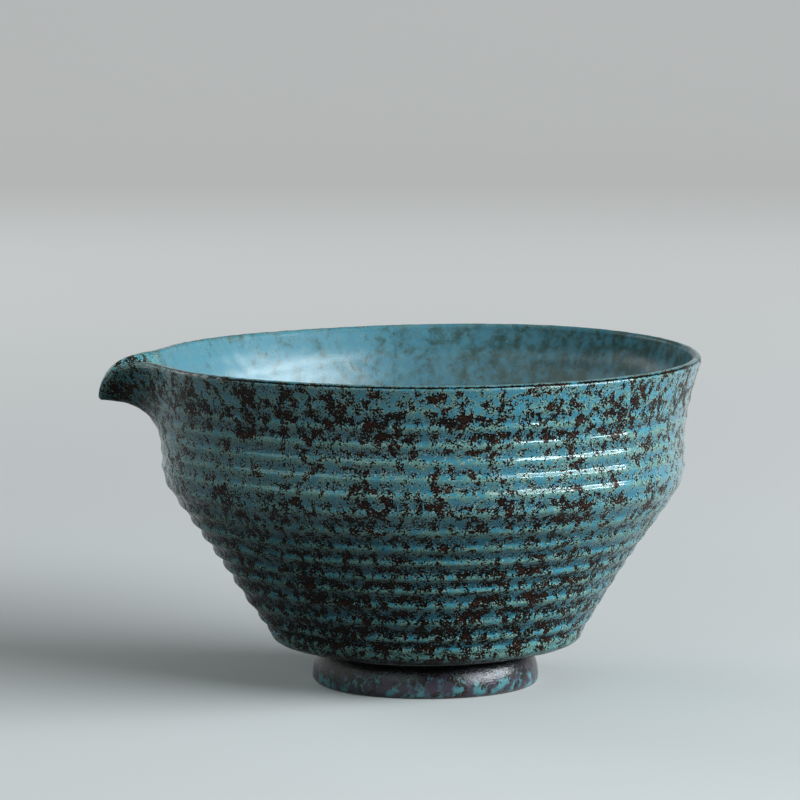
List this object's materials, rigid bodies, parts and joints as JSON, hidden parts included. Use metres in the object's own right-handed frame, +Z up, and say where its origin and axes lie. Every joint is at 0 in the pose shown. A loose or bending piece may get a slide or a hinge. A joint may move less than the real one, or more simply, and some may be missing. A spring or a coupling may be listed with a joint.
{
  "type": "tea pitcher",
  "caption": "Wheel-thrown glazed stoneware tea pitcher: an open ringed bowl on a foot ring, with a short beak-shaped pouring spout at its lip and no handle.",
  "frame": {"origin": "middle of the bounding box at table height, on the flat bottom plane of the foot ring; the bowl's own axis is 4.96 mm towards +X from it", "axes": "+Z up out of the bowl's mouth, -X along the spout, Y across; the pitcher is symmetric about the XZ plane"},
  "size_m": [0.1218, 0.112, 0.0665],
  "materials": {
    "bowl_glaze": "semi-gloss turquoise glaze, thickly speckled with dark brown iron spots, over throwing rings",
    "spout_glaze": "semi-gloss turquoise glaze speckled with dark brown iron spots, breaking pale at the lip",
    "foot_glaze": "semi-gloss turquoise glaze with a grey-violet sheen and dark brown spots, bare clay on the standing face"
  },
  "bodies": {
    "root": {"bowl": "bowl_glaze", "spout": "spout_glaze", "foot_ring": "foot_glaze"}
  },
  "joints": []
}
